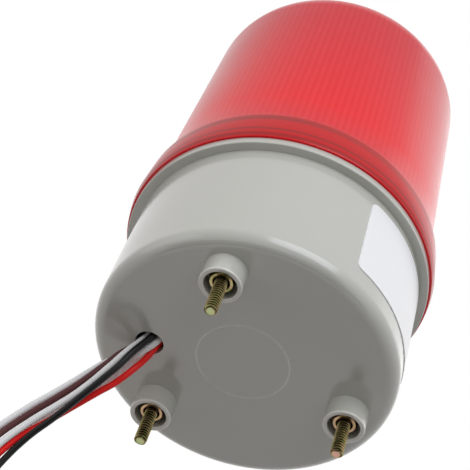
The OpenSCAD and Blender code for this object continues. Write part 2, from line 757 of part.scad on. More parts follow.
// Bright moulded reflector: a notched paraboloid shell on a ribbed foot
module reflector() {
    wide = 2 * base_bottom_r;
    color([0.9, 0.9, 0.92]) difference() {
        union() {
            intersection() {
                translate([0, 0, z_focus]) paraboloid(focal_len + reflector_wall, mouth_x);
                translate([-wide / 2, -wide / 2, z_focus - reflector_half_h])
                    cube([wide, wide, 2 * reflector_half_h]);
            }
            translate([0, 0, z_foot]) intersection() {
                cylinder(r = foot_out_r, h = foot_t);
                translate([-wide, -wide / 2, 0]) cube([wide + mouth_x, wide, foot_t]);
            }
            translate([-foot_out_r, -rib_t / 2, z_foot]) cube([foot_out_r + rib_x, rib_t, focus_up]);
            for (y = [-1, 1]) translate([rib_x, y * rib_y - rib_t / 2, z_foot])
                cube([mouth_x - rib_x, rib_t, focus_up]);
        }
        translate([0, 0, z_focus]) paraboloid(focal_len, mouth_x + cut);
        translate([0, 0, z_foot]) hole(foot_in_r, foot_t);
        translate([0, 0, z_foot + foot_t]) cylinder(r = lamp_room, h = focus_up - foot_t);
        translate([0, 0, z_foot]) around(foot_screw_dist, foot_screw_angles)
            hole(small_screw_r + hole_gap, foot_t);
    }
}

module reflector_screws() {
    color([0.7, 0.7, 0.72]) around(foot_screw_dist, foot_screw_angles) translate([0, 0, z_foot + foot_t])
        pan_screw(small_screw_r, foot_t + gear_t - hole_gap, small_head_r, small_head_h);
}

// Open spring ring in the groove of the lamp holder
module retaining_ring() {
    color([0.3, 0.3, 0.32]) translate([0, 0, z_ring]) difference() {
        cylinder(r = holder_r + ring_w, h = ring_t);
        hole(holder_r - ring_groove + fit_gap, ring_t);
        translate([0, -ring_open / 2, -cut]) cube([holder_r + ring_w + cut, ring_open, ring_t + 2 * cut]);
    }
}

// Small motor hung under the plate, with its bearing boss in the plate
module motor() {
    color([0.6, 0.61, 0.63]) difference() {
        at_motor() {
            translate([0, 0, z_motor]) cylinder(r = motor_r, h = motor_h);
            translate([0, 0, z_motor - motor_cap_h])
                cylinder(r = motor_boss_r, h = motor_h + motor_cap_h + plate_t);
        }
        at_motor() translate([0, 0, z_plate - motor_h / 2]) cylinder(r = shaft_r + fit_gap, h = motor_h);
        at_motor_screws() translate([0, 0, z_plate - motor_hole_h])
            cylinder(r = small_screw_r + fit_gap, h = motor_hole_h + cut);
    }
}

module motor_screws() {
    color([0.7, 0.7, 0.72]) at_motor_screws() translate([0, 0, z_plate_top])
        pan_screw(small_screw_r, plate_t + motor_hole_h - end_room, small_head_r, small_head_h);
}

module motor_shaft() {
    low = z_plate - motor_h / 2 + free_gap;
    color([0.8, 0.8, 0.82]) at_motor() translate([0, 0, low])
        cylinder(r = shaft_r, h = z_gear_top + end_room - low);
}

// Brass pinion in mesh with the gear: one of its gaps faces the gear's tooth
module motor_pinion() {
    lag = motor_angle * gear_teeth / 360;
    phase = 180 + (lag - floor(lag) + 0.5) * 360 / pinion_teeth;
    pinion_t = gear_t + 2 * pinion_over;
    color([0.83, 0.69, 0.35]) at_motor() translate([0, 0, z_gear - pinion_over]) difference() {
        rotate(phase) linear_extrude(height = pinion_t) polygon(gear_points(pinion_teeth));
        hole(shaft_r + press_gap, pinion_t);
    }
}

// Board that the leads are soldered to
module circuit_board() {
    color([0.15, 0.4, 0.22]) difference() {
        translate([board_at.x, board_at.y, z_board]) cube([board_l, board_w, board_t]);
        for (p = board_holes) translate([p.x, p.y, z_board]) hole(small_screw_r + hole_gap, board_t);
    }
}

module board_screws() {
    color([0.7, 0.7, 0.72]) for (p = board_holes) translate([p.x, p.y, z_board_top])
        pan_screw(small_screw_r, board_t + board_hole_h - end_room, small_head_r, small_head_h);
}

module capacitor() {
    color([0.15, 0.2, 0.45]) translate([capacitor_at.x, capacitor_at.y, z_board_top]) rotate_extrude()
        polygon(concat([[0, 0], [capacitor_r, 0]],
            arc([capacitor_r - capacitor_round, capacitor_h - capacitor_round], capacitor_round, 0, 90, 4),
            [[0, capacitor_h]]));
}

module rectifier() {
    color([0.1, 0.1, 0.11]) translate([rectifier_at.x, rectifier_at.y, z_board_top])
        cube([rectifier_w, rectifier_w, rectifier_h]);
}

module lead_white_rear() {
    color([0.88, 0.88, 0.9]) at_outlet() tube(LEAD_WHITE_REAR, lead_r, lead_sides);
}

module lead_brown() {
    color([0.35, 0.2, 0.2]) at_outlet() tube(LEAD_BROWN, lead_r, lead_sides);
}

module lead_white_mid() {
    color([0.85, 0.85, 0.86]) at_outlet() tube(LEAD_WHITE_MID, lead_r, lead_sides);
}

module lead_black() {
    color([0.1, 0.1, 0.11]) at_outlet() tube(LEAD_BLACK, lead_r, lead_sides);
}

module lead_white_front() {
    color([0.88, 0.88, 0.9]) at_outlet() tube(LEAD_WHITE_FRONT, lead_r, lead_sides);
}

module lead_red() {
    color([0.83, 0.14, 0.14]) at_outlet() tube(LEAD_RED, lead_r, lead_sides);
}

// Stripped and tinned ends of the leads
module lead_ends() {
    color([0.8, 0.8, 0.8]) at_outlet() for (route = LEADS)
        translate(route[len(route) - 1] - [0, 0, tip_len]) cylinder(r = tip_r, h = tip_len);
}

base_housing();
mounting_studs();
stud_washers();
stud_nuts();
lens();
lens_gasket();
rating_label();
chassis_plate();
plate_screws();
lamp_holder();
holder_screws();
contact_insulator();
centre_contact();
bulb();
thrust_washer();
drive_gear();
reflector();
reflector_screws();
retaining_ring();
motor();
motor_screws();
motor_shaft();
motor_pinion();
circuit_board();
board_screws();
capacitor();
rectifier();
lead_white_rear();
lead_brown();
lead_white_mid();
lead_black();
lead_white_front();
lead_red();
lead_ends();
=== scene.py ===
import json
import math

import bmesh
import bpy
from bpy.props import FloatProperty, FloatVectorProperty, IntProperty, PointerProperty
from mathutils import Matrix, Vector


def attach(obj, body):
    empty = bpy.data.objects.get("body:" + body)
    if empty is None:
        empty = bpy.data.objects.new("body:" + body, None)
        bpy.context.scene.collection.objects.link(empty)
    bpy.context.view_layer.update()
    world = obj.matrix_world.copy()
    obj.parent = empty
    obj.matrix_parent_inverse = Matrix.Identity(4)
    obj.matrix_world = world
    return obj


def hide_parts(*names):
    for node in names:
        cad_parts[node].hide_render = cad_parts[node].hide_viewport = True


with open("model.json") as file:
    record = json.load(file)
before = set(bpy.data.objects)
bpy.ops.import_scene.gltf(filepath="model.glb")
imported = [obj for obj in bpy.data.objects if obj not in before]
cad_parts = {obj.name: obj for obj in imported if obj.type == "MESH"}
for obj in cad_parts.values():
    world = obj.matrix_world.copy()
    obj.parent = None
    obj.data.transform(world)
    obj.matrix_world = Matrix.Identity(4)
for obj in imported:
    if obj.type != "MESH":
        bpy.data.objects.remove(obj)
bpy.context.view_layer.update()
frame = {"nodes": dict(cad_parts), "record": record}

bl_info = {
    "name": "Rotating Warning Beacon",
    "version": (1, 0, 0),
    "blender": (4, 5, 0),
    "location": "3D View > Sidebar > Beacon",
    "description": "Dresses the packed beacon: fluted lens, threaded studs, leads, finishes and studio",
    "category": "Object",
}

MM = 0.001

# Sizes in mm as in the part's source, with heights over the ends of the bosses
UNDERSIDE_Z = 7.2
RING_LINE_R = 14.6
OUTLET = (-28.7575, -6.1126, UNDERSIDE_Z)
BOARD_OVER_OUTLET = 12.8
STUD_CIRCLE_R = 35.5
STUD_ANGLES = (-90, 30, 150)
STUD_TIP_Z = -11.5
HEAD_Z = 8.5
HEAD_FLATS = 7
HEAD_TALL = 2.8
NUT_Z = 1.5
WASHER_Z = 4.7
COUNTERSINK_R = 2.6
NECK_R = 47.3
LENS_FOOT_Z = 55.2
BORE_TOP_Z = 67.8
COLLAR_TOP_Z = 69.5
SHOULDER_Z = 148.0
BULB_CAP_Z = 73.5

# The photograph's camera: its place in metres and its axes, and the spot on the beacon that the lamps face
CAMERA_PLACE = (0.134905, -0.330520, -0.360072)
RIGHT = Vector((0.96236, 0.13931, 0.23337))
UP = Vector((-0.03035, -0.79820, 0.60163))
BACK = Vector((0.27009, -0.58607, -0.76392))
LAMP_AIM = Vector((0, 0, 0.07))

# Routes of the leads: points in mm from the middle of the outlet's mouth, from the board down
LEADS = {
    "lead_white_rear": ("white_pvc", [
        (2.3, 1.6, BOARD_OVER_OUTLET), (2.3, 1.6, 10.4), (0, 2.6, 2.7), (-1.7, 2.6, 0),
        (-7.8, 2.4, -4.2), (-12.9, 2.5, -7.8), (-16.5, 3.2, -10.9), (-21.2, 4.3, -15),
        (-25.9, 5.3, -19), (-33, 6.8, -24.8), (-41.4, 8.7, -33.5), (-48.2, 10.2, -44),
        (-53.4, 11.4, -57), (-57.4, 12.3, -75), (-59.6, 12.7, -93), (-59.6, 12.7, -109)]),
    "lead_brown": ("brown_pvc", [
        (2.7, -0.7, BOARD_OVER_OUTLET), (2.7, -0.7, 10.4), (-1.6, 0.9, 2.7), (-3.2, 0.7, 0),
        (-6.9, 0, -4.6), (-12, 1.2, -10.3), (-17.8, 3.2, -15.9), (-25, 5.3, -21.8),
        (-32, 7, -27.6), (-39.9, 8.9, -36), (-46.2, 10.5, -47), (-50.8, 11.9, -61),
        (-53.9, 12.8, -79), (-55.3, 13.2, -97), (-55.3, 13.2, -113)]),
    "lead_white_mid": ("white_pvc", [
        (1.8, -3.5, BOARD_OVER_OUTLET), (1.8, -3.5, 10.4), (-0.6, -1.4, 2.7), (-2, -1.2, 0),
        (-5.3, -1.4, -6), (-9.3, 0.1, -11.4), (-16.9, 3.5, -18.9), (-24.2, 6.1, -24.5),
        (-31.4, 8.2, -30), (-38.8, 10.2, -38.2), (-44.6, 11.6, -49.5), (-48.8, 12.4, -63.5),
        (-51.4, 12.7, -81), (-52.5, 12.6, -97), (-52.5, 12.6, -111)]),
    "lead_black": ("black_pvc", [
        (4.1, -2.7, BOARD_OVER_OUTLET), (4.1, -2.7, 10.4), (2.1, -2.3, 2.7), (0.8, -2.2, 0),
        (-3.2, -2, -7.2), (-6, -1, -11.9), (-10.9, 1.1, -17.2), (-16.1, 3.7, -21.6),
        (-23.5, 7.4, -27.5), (-30.9, 10.7, -33.3), (-37.4, 14.2, -41), (-42.5, 17.1, -52),
        (-46.2, 19.2, -66), (-48.5, 20.6, -84), (-49.5, 21.3, -102), (-49.5, 21.3, -119)]),
    "lead_white_front": ("white_pvc", [
        (6, -1, BOARD_OVER_OUTLET), (6, -1, 10.4), (3.2, -0.2, 2.7), (1.6, 0.2, 0),
        (-2.3, 1.5, -3.3), (-6.1, 4.5, -5.6), (-13.5, 8.3, -11.2), (-19.3, 10.2, -15.8),
        (-26.4, 11.5, -21.7), (-33.1, 12.2, -27.8), (-40.5, 13.5, -36.5), (-46.8, 15.1, -47),
        (-51.7, 16.7, -61), (-55.1, 18, -79), (-56.8, 18.8, -96), (-56.8, 18.8, -111)]),
    "lead_red": ("red_pvc", [
        (4.8, 1.1, BOARD_OVER_OUTLET), (4.8, 1.1, 10.4), (2.2, 2.1, 2.7), (0.9, 2.7, 0),
        (-0.6, 3.3, -3.2), (-3.2, 3.5, -8.3), (-8.1, 4.8, -13.8), (-12.2, 5.6, -17.1),
        (-19.6, 7.7, -22.3), (-28.2, 10.2, -28.2), (-31.8, 10.9, -30.8), (-38.5, 12.7, -38.6),
        (-44.3, 14.8, -50), (-48.8, 16.8, -64.5), (-51.6, 18.3, -82), (-53, 19.3, -98),
        (-53, 19.3, -112)]),
}


def srgb(code):
    """Linear colour of an sRGB hex value such as "#c9cac4"."""
    parts = [int(code[i:i + 2], 16) / 255 for i in (1, 3, 5)]
    return [c / 12.92 if c <= 0.04045 else ((c + 0.055) / 1.055) ** 2.4 for c in parts]


def length_property(name, description, default_mm):
    """A length that a user may change, kept in metres."""
    return FloatProperty(name=name, description=description, default=default_mm * MM,
                         min=0, precision=5, subtype="DISTANCE", unit="LENGTH")


def colour_property(name, description, code):
    """A colour that a user may change, kept linear."""
    return FloatVectorProperty(name=name, description=description, default=srgb(code),
                               size=3, min=0, max=1, subtype="COLOR")


class BeaconSizes(bpy.types.PropertyGroup):
    """Sizes of the pieces that are modelled here."""
    flutes: IntProperty(name="Flutes", description="Flutes inside the lens", default=130, min=20)
    flute_depth: length_property("Flute depth", "Depth of a flute inside the lens", 0.5)
    neck_pitch: length_property("Neck thread pitch", "Rise of the neck's thread in a turn", 2.6)
    neck_ridge: length_property("Neck thread height", "Height of the neck's thread", 0.95)
    stud_pitch: length_property("Stud thread pitch", "Rise in a turn, coarse enough to show", 1.0)
    stud_major: length_property("Stud thread radius", "Outside radius of the stud's thread", 2.0)
    stud_minor: length_property("Stud core radius", "Radius at the root of the stud's thread", 1.5)
    stud_chamfer: length_property("Stud chamfer", "Chamfer at the stud's tip", 0.5)
    lead_diameter: length_property("Lead diameter", "Diameter of a lead over its insulation", 2.1)
    strand_radius: length_property("Tip radius", "Radius of a tinned lead tip", 0.45)
    strand_length: length_property("Tip length", "Bare length of a lead tip", 7)


class BeaconColours(bpy.types.PropertyGroup):
    """Colours of the pieces that show."""
    abs_grey: colour_property("Grey ABS", "Moulded base", "#c8c8c1")
    lens_red: colour_property("Lens red", "Dome of the lens", "#f40a1a")
    # painted shade: the darker red painted on the crown and on the dome close over the collar
    lens_shade_red: colour_property("Lens dull red", "Crown, where the wall is seen edge on", "#c2182e")
    # painted shade: the collar is painted a darker red, as less light comes through it with the neck behind
    lens_collar: colour_property("Lens collar red", "Collar, with the grey neck close behind it", "#d2161c")
    lens_thread: colour_property("Lens thread red", "Collar where the thread shades it", "#a02022")
    label_white: colour_property("Label white", "Film of the label", "#fbfcff")
    zinc_yellow: colour_property("Yellow zinc", "Passivated studs, nuts and washers", "#b3a377")
    zinc_olive: colour_property("Olive zinc", "Greenish bloom of the passivation", "#7c7c4a")
    zinc_rose: colour_property("Rose zinc", "Reddish bloom of the passivation", "#bc917c")
    lead_white: colour_property("White lead", "White PVC", "#fdfdfe")
    lead_brown: colour_property("Brown lead", "Brown PVC", "#5c3334")
    lead_black: colour_property("Black lead", "Black PVC", "#080809")
    lead_red: colour_property("Red lead", "Red PVC", "#ff2420")


def add(tree, kind, sockets=None, **settings):
    """Adds a shader node: settings are its options, and sockets gives inputs a value or a link."""
    made = tree.nodes.new("ShaderNode" + kind)
    for key, value in settings.items():
        setattr(made, key, value)
    for key, value in (sockets or {}).items():
        if isinstance(value, bpy.types.NodeSocket):
            tree.links.new(value, made.inputs[key])
        else:
            made.inputs[key].default_value = value
    return made


def start_finish(name):
    """A new material with nothing in it, and its Object coordinates."""
    finish = bpy.data.materials.new(name)
    finish.use_nodes = True
    tree = finish.node_tree
    tree.nodes.clear()
    return finish, tree, add(tree, "TexCoord").outputs["Object"]


def end_finish(tree, sockets):
    """Puts a principled shader with these sockets on the output."""
    shader = add(tree, "BsdfPrincipled", sockets)
    add(tree, "OutputMaterial", {"Surface": shader.outputs["BSDF"]})


def per_mm(size):
    """Scale of a texture whose features are about so many mm wide."""
    return 1 / (size * MM)


def rgba(colour, share=1.0):
    """Colour for a socket, dimmed to a share."""
    return (*[c * share for c in colour], 1)


def stud_places():
    """Angle in degrees, x and y in mm of each stud."""
    return [(angle, STUD_CIRCLE_R * math.cos(math.radians(angle)),
             STUD_CIRCLE_R * math.sin(math.radians(angle))) for angle in STUD_ANGLES]


def moulded_plastic(name, colour, roughness, grain, shade=0.92):
    """Moulded plastic: soft cloudy tone from the flow in the mould, and a fine grain in the gloss."""
    finish, tree, place = start_finish(name)
    cloud = add(tree, "TexNoise", {"Vector": place, "Scale": per_mm(14), "Detail": 3})
    tone = add(tree, "Mix", {0: cloud.outputs["Fac"], 6: rgba(colour), 7: rgba(colour, shade)},
               data_type="RGBA")
    pits = add(tree, "TexNoise", {"Vector": place, "Scale": per_mm(grain), "Detail": 2})
    gloss = add(tree, "MapRange", {"Value": pits.outputs["Fac"], "To Min": roughness - 0.05,
                                   "To Max": roughness + 0.05})
    relief = add(tree, "Bump", {"Height": pits.outputs["Fac"], "Strength": 0.12,
                                "Distance": 0.02 * MM})
    end_finish(tree, {"Base Color": tone.outputs[2], "Roughness": gloss.outputs[0], "IOR": 1.5,
                      "Normal": relief.outputs[0]})
    return finish


def plated_metal(name, colour, bloom, roughness, spot, drawn=(1, 1, 1)):
    """Plated metal: two tones of the plating in soft spots, and a grain along the way it was drawn."""
    finish, tree, place = start_finish(name)
    spots = add(tree, "TexNoise", {"Vector": place, "Scale": per_mm(spot), "Detail": 4})
    share = add(tree, "MapRange", {"Value": spots.outputs["Fac"], "From Min": 0.35,
                                   "From Max": 0.65})
    tone = add(tree, "Mix", {0: share.outputs[0], 6: rgba(colour), 7: rgba(bloom)},
               data_type="RGBA")
    turned = add(tree, "Mapping", {"Vector": place, "Scale": drawn})
    grain = add(tree, "TexNoise", {"Vector": turned.outputs[0], "Scale": per_mm(0.5), "Detail": 2})
    gloss = add(tree, "MapRange", {"Value": grain.outputs["Fac"], "To Min": roughness - 0.08,
                                   "To Max": roughness + 0.1})
    end_finish(tree, {"Base Color": tone.outputs[2], "Metallic": 1.0, "Roughness": gloss.outputs[0]})
    return finish


def abs_finish(colours):
    """Injection-moulded ABS: satin warm grey with faint flow clouds and a fine grain."""
    finish, tree, place = start_finish("ABS_moulded_warm_grey")
    grey = colours.abs_grey
    cloud = add(tree, "TexNoise", {"Vector": place, "Scale": per_mm(22), "Detail": 3})
    tone = add(tree, "Mix", {0: cloud.outputs["Fac"], 6: rgba(grey), 7: rgba(grey, 0.94)},
               data_type="RGBA")
    # the ring line in the middle of the underside is painted lighter: a painted highlight where it catches
    # the light
    line_half = 0.28 * MM
    flat = add(tree, "VectorMath", {0: place, 1: (1, 1, 0)}, operation="MULTIPLY")
    away = add(tree, "VectorMath", {0: flat.outputs[0], 1: (0, 0, 0)}, operation="DISTANCE")
    line = add(tree, "Math", {0: away.outputs["Value"], 1: RING_LINE_R * MM, 2: line_half},
               operation="COMPARE")
    xyz = add(tree, "SeparateXYZ", {"Vector": place})
    under = add(tree, "Math", {0: xyz.outputs["Z"], 1: (UNDERSIDE_Z + 0.6) * MM},
                operation="LESS_THAN")
    ring = add(tree, "Math", {0: line.outputs[0], 1: under.outputs[0]}, operation="MULTIPLY")
    lined = add(tree, "Mix", {0: ring.outputs[0], 6: tone.outputs[2], 7: rgba(srgb("#e6e6e0"))},
                data_type="RGBA")
    # the ends of the bosses, which the beacon stands on, are painted pale: a painted highlight on their end
    # faces and edges
    end_highlight = add(tree, "MapRange", {"Value": xyz.outputs["Z"], "From Min": 0.25 * MM,
                                    "From Max": 0.9 * MM, "To Min": 0.85, "To Max": 0})
    end_highlighted = add(tree, "Mix", {0: end_highlight.outputs[0], 6: lined.outputs[2], 7: rgba(srgb("#ebe9e3"))},
                data_type="RGBA")
    pits = add(tree, "TexNoise", {"Vector": place, "Scale": per_mm(0.5), "Detail": 2})
    gloss = add(tree, "MapRange", {"Value": cloud.outputs["Fac"], "To Min": 0.14, "To Max": 0.22})
    relief = add(tree, "Bump", {"Height": pits.outputs["Fac"], "Strength": 0.08,
                                "Distance": 0.02 * MM})
    end_finish(tree, {"Base Color": end_highlighted.outputs[2], "Roughness": gloss.outputs[0], "IOR": 1.53,
                      "Normal": relief.outputs[0], "Coat Weight": 0.45, "Coat Roughness": 0.18})
    return finish


def lens_finish(colours, sizes):
    """Red polycarbonate: deep clear red, polished outside; the flutes behind the wall draw soft upright
    stripes.
    The thread behind the collar is painted as dark rings, and the collar, its foot and the crown are
    painted darker: painted shade."""
    finish, tree, place = start_finish("Polycarbonate_red_lens")
    xyz = add(tree, "SeparateXYZ", {"Vector": place})
    turn = add(tree, "TexGradient", {"Vector": place}, gradient_type="RADIAL")
    count = add(tree, "Math", {0: turn.outputs["Fac"], 1: float(sizes.flutes)},
                operation="MULTIPLY")
    wave = add(tree, "Math", {0: count.outputs[0], 1: 0.5}, operation="PINGPONG")
    # each flute has its own strength, nearly even along its height
    along = add(tree, "VectorMath", {0: place, 1: (1, 1, 0.06)}, operation="MULTIPLY")
    uneven = add(tree, "TexNoise", {"Vector": along.outputs[0], "Scale": per_mm(4), "Detail": 2})
    strength = add(tree, "MapRange", {"Value": uneven.outputs["Fac"], "From Min": 0.3,
                                      "From Max": 0.7, "To Min": 0.5, "To Max": 0.85})
    stripe = add(tree, "MapRange", {"Value": wave.outputs[0], "From Max": 0.5,
                                    "To Max": strength.outputs[0]}, interpolation_type="SMOOTHSTEP")
    in_dome = add(tree, "MapRange", {"Value": xyz.outputs["Z"], "From Min": COLLAR_TOP_Z * MM,
                                     "From Max": (COLLAR_TOP_Z + 1.5) * MM})
    fluted = add(tree, "Math", {0: stripe.outputs[0], 1: in_dome.outputs[0]}, operation="MULTIPLY")
    # painted shade: the red is painted darker up to the crown, and a little close over the collar
    height = add(tree, "MapRange", {"Value": xyz.outputs["Z"],
                                    "From Min": (COLLAR_TOP_Z + 10.5) * MM,
                                    "From Max": (SHOULDER_Z + 10) * MM, "To Max": 0.8})
    shade = add(tree, "MapRange", {"Value": xyz.outputs["Z"], "From Min": (COLLAR_TOP_Z - 0.5) * MM,
                                   "From Max": (COLLAR_TOP_Z + 18.5) * MM,
                                   "To Min": 0.4, "To Max": 0},
                interpolation_type="SMOOTHSTEP")
    dome_shade = add(tree, "Math", {0: height.outputs[0], 1: shade.outputs[0]}, operation="MAXIMUM")
    dome = add(tree, "Mix", {0: dome_shade.outputs[0], 6: rgba(colours.lens_red),
                             7: rgba(colours.lens_shade_red)}, data_type="RGBA")
    # painted shade: below the dome the collar takes its darker red
    red = add(tree, "Mix", {0: in_dome.outputs[0], 6: rgba(colours.lens_collar),
                            7: dome.outputs[2]}, data_type="RGBA")
    lined = add(tree, "Mix", {0: fluted.outputs[0], 6: red.outputs[2],
                              7: rgba(srgb("#4b2222"))}, data_type="RGBA", blend_type="ADD")
    # painted shade: the thread's rings climb one pitch in a turn, and end well under the neck's top
    rings_top = 60.2
    climb = add(tree, "Math", {0: turn.outputs["Fac"], 1: sizes.neck_pitch, 2: xyz.outputs["Z"]},
                operation="MULTIPLY_ADD")
    step = add(tree, "Math", {0: climb.outputs[0], 1: sizes.neck_pitch / 2}, operation="PINGPONG")
    ring = add(tree, "MapRange", {"Value": step.outputs[0], "From Min": 0.1 * MM,
                                  "From Max": 1.2 * MM, "To Min": 0.85, "To Max": 0},
               interpolation_type="SMOOTHSTEP")
    low = add(tree, "MapRange", {"Value": xyz.outputs["Z"], "From Min": (LENS_FOOT_Z + 0.2) * MM,
                                 "From Max": (LENS_FOOT_Z + 0.8) * MM})
    high = add(tree, "MapRange", {"Value": xyz.outputs["Z"], "From Min": rings_top * MM,
                                  "From Max": (rings_top + 1.2) * MM, "To Min": 1, "To Max": 0})
    both = add(tree, "Math", {0: low.outputs[0], 1: high.outputs[0]}, operation="MULTIPLY")
    rings = add(tree, "Math", {0: ring.outputs[0], 1: both.outputs[0]}, operation="MULTIPLY")
    # painted shade: the neck's top edge draws one broader ring under the collar's step
    broad_z = 66.2
    edge = add(tree, "Math", {0: xyz.outputs["Z"], 1: broad_z * MM}, operation="SUBTRACT")
    off = add(tree, "Math", {0: edge.outputs[0]}, operation="ABSOLUTE")
    broad = add(tree, "MapRange", {"Value": off.outputs[0], "From Min": 0.5 * MM,
                                   "From Max": 2 * MM, "To Min": 0.8, "To Max": 0},
                interpolation_type="SMOOTHSTEP")
    # on the label's side more light comes through the wall, and the broad ring is fainter
    fade = add(tree, "MapRange", {"Value": xyz.outputs["X"], "From Min": 6 * MM,
                                  "From Max": 30 * MM, "To Min": 1, "To Max": 0.65})
    faded = add(tree, "Math", {0: broad.outputs[0], 1: fade.outputs[0]}, operation="MULTIPLY")
    dark = add(tree, "Math", {0: rings.outputs[0], 1: faded.outputs[0]}, operation="MAXIMUM")
    ringed = add(tree, "Mix", {0: dark.outputs[0], 6: lined.outputs[2],
                               7: rgba(colours.lens_thread)}, data_type="RGBA")
    # painted shade: the collar's foot, facing down, is painted a crimson line
    foot = add(tree, "MapRange", {"Value": xyz.outputs["Z"], "From Min": (LENS_FOOT_Z + 0.05) * MM,
                                  "From Max": (LENS_FOOT_Z + 0.3) * MM, "To Min": 1, "To Max": 0})
    colour = add(tree, "Mix", {0: foot.outputs[0], 6: ringed.outputs[2],
                               7: rgba(srgb("#e80418"))}, data_type="RGBA")
    haze = add(tree, "TexNoise", {"Vector": place, "Scale": per_mm(18), "Detail": 3})
    gloss = add(tree, "MapRange", {"Value": haze.outputs["Fac"], "To Min": 0.16, "To Max": 0.28})
    end_finish(tree, {"Base Color": colour.outputs[2], "Roughness": gloss.outputs[0], "IOR": 1.36})
    return finish


def zinc_finish(colours):
    """Yellow passivated zinc: bright plate under a thin chromate film that runs from straw to olive
    and rose; on the studs the thread's roots are painted dark, a painted shade, and the cut tips pale, a
    painted highlight."""
    finish, tree, place = start_finish("Zinc_plate_yellow_passivated")
    bloom = add(tree, "TexNoise", {"Vector": place, "Scale": per_mm(2.2), "Detail": 4})
    mottle = add(tree, "MapRange", {"Value": bloom.outputs["Fac"], "From Min": 0.38,
                                    "From Max": 0.62})
    straw = add(tree, "Mix", {0: mottle.outputs[0], 6: rgba(colours.zinc_yellow),
                              7: rgba(colours.zinc_olive)}, data_type="RGBA")
    flush = add(tree, "MapRange", {"Value": bloom.outputs["Color"], "From Min": 0.52,
                                   "From Max": 0.66, "To Max": 0.7})
    # the nuts, down in the bosses, carry more of the rose, apart from the straw one at the front
    xyz = add(tree, "SeparateXYZ", {"Vector": place})
    nut = add(tree, "MapRange", {"Value": xyz.outputs["Z"], "From Min": (NUT_Z - 0.9) * MM,
                                 "From Max": (NUT_Z - 0.1) * MM})
    rear = add(tree, "MapRange", {"Value": xyz.outputs["Y"], "From Min": -20 * MM, "From Max": 0,
                                  "To Max": 0.55})
    warm = add(tree, "Math", {0: nut.outputs[0], 1: rear.outputs[0]}, operation="MULTIPLY")
    rosy = add(tree, "Math", {0: flush.outputs[0], 1: warm.outputs[0]}, operation="MAXIMUM")
    tone = add(tree, "Mix", {0: rosy.outputs[0], 6: straw.outputs[2],
                             7: rgba(colours.zinc_rose)}, data_type="RGBA")
    thread = add(tree, "Attribute", attribute_name="thread_place")
    root = add(tree, "MapRange", {"Value": thread.outputs["Fac"], "From Min": 0.05, "From Max": 0.6,
                                  "To Max": 0.88})
    # painted shade: the thread's roots, and the washers deep in the hollow of the bosses, are painted dark
    hollow_shade = add(tree, "MapRange", {"Value": xyz.outputs["Z"], "From Min": (NUT_Z + 0.7) * MM,
                                    "From Max": (WASHER_Z - 0.1) * MM, "To Max": 0.92})
    painted_shade = add(tree, "Math", {0: root.outputs[0], 1: hollow_shade.outputs[0]}, operation="MAXIMUM")
    # painted shade: the countersink of each nut, and the stud in it, are painted dark
    flat = add(tree, "VectorMath", {0: place, 1: (1, 1, 0)}, operation="MULTIPLY")
    for _, x, y in stud_places():
        off = add(tree, "VectorMath", {0: flat.outputs[0], 1: (x * MM, y * MM, 0)},
                  operation="DISTANCE")
        near = add(tree, "MapRange", {"Value": off.outputs["Value"], "From Min": COUNTERSINK_R * MM,
                                      "From Max": (COUNTERSINK_R + 0.25) * MM,
                                      "To Min": 0.9, "To Max": 0})
        sunk = add(tree, "Math", {0: near.outputs[0], 1: nut.outputs[0]}, operation="MULTIPLY")
        painted_shade = add(tree, "Math", {0: painted_shade.outputs[0], 1: sunk.outputs[0]}, operation="MAXIMUM")
    # the edge between the thread and the cut tip is painted dark too
    edge = add(tree, "Math", {0: thread.outputs["Fac"], 1: -0.75, 2: 0.55}, operation="COMPARE")
    rim = add(tree, "Math", {0: edge.outputs[0], 1: 0.75}, operation="MULTIPLY")
    painted_shade = add(tree, "Math", {0: painted_shade.outputs[0], 1: rim.outputs[0]}, operation="MAXIMUM")
    with_painted_shade = add(tree, "Mix", {0: painted_shade.outputs[0], 6: tone.outputs[2], 7: rgba(srgb("#20160d"))},
                data_type="RGBA")
    # the cut tips are painted pale, most at their middle: a painted highlight, greenish on two studs and
    # rosy on the third
    tip = add(tree, "MapRange", {"Value": thread.outputs["Fac"], "From Min": -1.6, "From Max": -1.3,
                                 "To Min": 0.95, "To Max": 0.2})
    cut = add(tree, "Math", {0: thread.outputs["Fac"], 1: -1.2}, operation="LESS_THAN")
    pale = add(tree, "Math", {0: tip.outputs[0], 1: cut.outputs[0]}, operation="MULTIPLY")
    third = add(tree, "MapRange", {"Value": xyz.outputs["X"], "From Min": 10 * MM,
                                   "From Max": 25 * MM})
    tip_highlight = add(tree, "Mix", {0: third.outputs[0], 6: rgba(srgb("#a9b283")),
                             7: rgba(srgb("#c8978a"))}, data_type="RGBA")
    end_highlighted = add(tree, "Mix", {0: pale.outputs[0], 6: with_painted_shade.outputs[2], 7: tip_highlight.outputs[2]},
                data_type="RGBA")
    fine = add(tree, "TexNoise", {"Vector": place, "Scale": per_mm(0.4), "Detail": 3})
    gloss = add(tree, "MapRange", {"Value": fine.outputs["Fac"], "To Min": 0.2, "To Max": 0.42})
    end_finish(tree, {"Base Color": end_highlighted.outputs[2], "Metallic": 1.0, "Roughness": gloss.outputs[0],
                      "Specular Tint": rgba(srgb("#bbb395"))})
    return finish


def film_finish(colours):
    """Self-adhesive label film: white polyester with a faint fibre tone and a satin face."""
    finish, tree, place = start_finish("Polyester_label_film_white")
    white = colours.label_white
    fibre = add(tree, "TexNoise", {"Vector": place, "Scale": per_mm(1.2), "Detail": 4})
    tone = add(tree, "Mix", {0: fibre.outputs["Fac"], 6: rgba(white), 7: rgba(white, 0.965)},
               data_type="RGBA")
    wave = add(tree, "TexNoise", {"Vector": place, "Scale": per_mm(9), "Detail": 1})
    relief = add(tree, "Bump", {"Height": wave.outputs["Fac"], "Strength": 0.1,
                                "Distance": 0.2 * MM})
    gloss = add(tree, "MapRange", {"Value": fibre.outputs["Fac"], "To Min": 0.28, "To Max": 0.4})
    end_finish(tree, {"Base Color": tone.outputs[2], "Roughness": gloss.outputs[0], "IOR": 1.5,
                      "Normal": relief.outputs[0]})
    return finish


